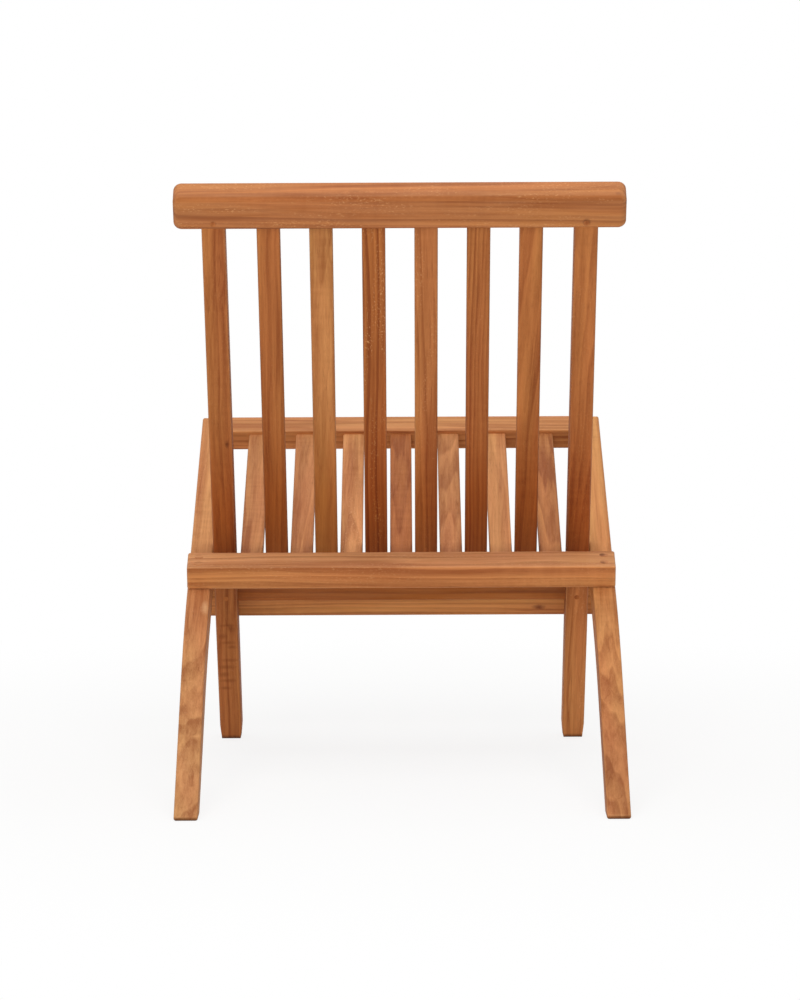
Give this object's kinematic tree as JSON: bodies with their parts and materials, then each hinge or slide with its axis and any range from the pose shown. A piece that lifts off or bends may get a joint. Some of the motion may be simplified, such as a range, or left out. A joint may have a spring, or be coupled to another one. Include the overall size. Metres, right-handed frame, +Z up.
{
  "type": "folding slatted chair",
  "caption": "Low folding teak chair of two slatted frames that cross like scissors and turn on steel pivots, with the back's slats passing between the seat's slats.",
  "frame": {"origin": "on the floor, under the middle of the open chair's bounding box", "axes": "+Z up, the chair's front looks along -Y, +X to the sitter's left; the chair stands open on its four feet"},
  "size_m": [0.489, 0.7968, 0.6652],
  "materials": {
    "teak": "oiled satin teak",
    "steel": "satin stainless steel"
  },
  "bodies": {
    "seat_frame": {"side_member_left": "teak", "side_member_right": "teak", "seat_front_rail": "teak", "seat_rear_rail": "teak", "seat_slat_1": "teak", "seat_slat_2": "teak", "seat_slat_3": "teak", "seat_slat_4": "teak", "seat_slat_5": "teak", "seat_slat_6": "teak", "seat_slat_7": "teak", "rear_rail_screws": "steel", "rear_rail_plugs": "teak", "seat_slat_screws": "steel", "pivot_sleeve_left": "steel", "pivot_sleeve_right": "steel", "pivot_screw_left": "steel", "pivot_screw_right": "steel", "pivot_washer_left": "steel", "pivot_washer_right": "steel"},
    "back_frame": {"back_stile_left": "teak", "back_stile_right": "teak", "top_rail": "teak", "back_bottom_rail": "teak", "front_stretcher": "teak", "back_slat_1": "teak", "back_slat_2": "teak", "back_slat_3": "teak", "back_slat_4": "teak", "back_slat_5": "teak", "back_slat_6": "teak", "top_rail_pins": "teak", "bottom_rail_pins": "teak", "stretcher_screws": "steel", "stretcher_plugs": "teak"}
  },
  "joints": [
    {"name": "fold", "type": "hinge", "parent": "seat_frame", "child": "back_frame", "pos_m": [0, -0.05642, 0.222], "axis": [1, 0, 0], "range_deg": [0, 95]}
  ]
}
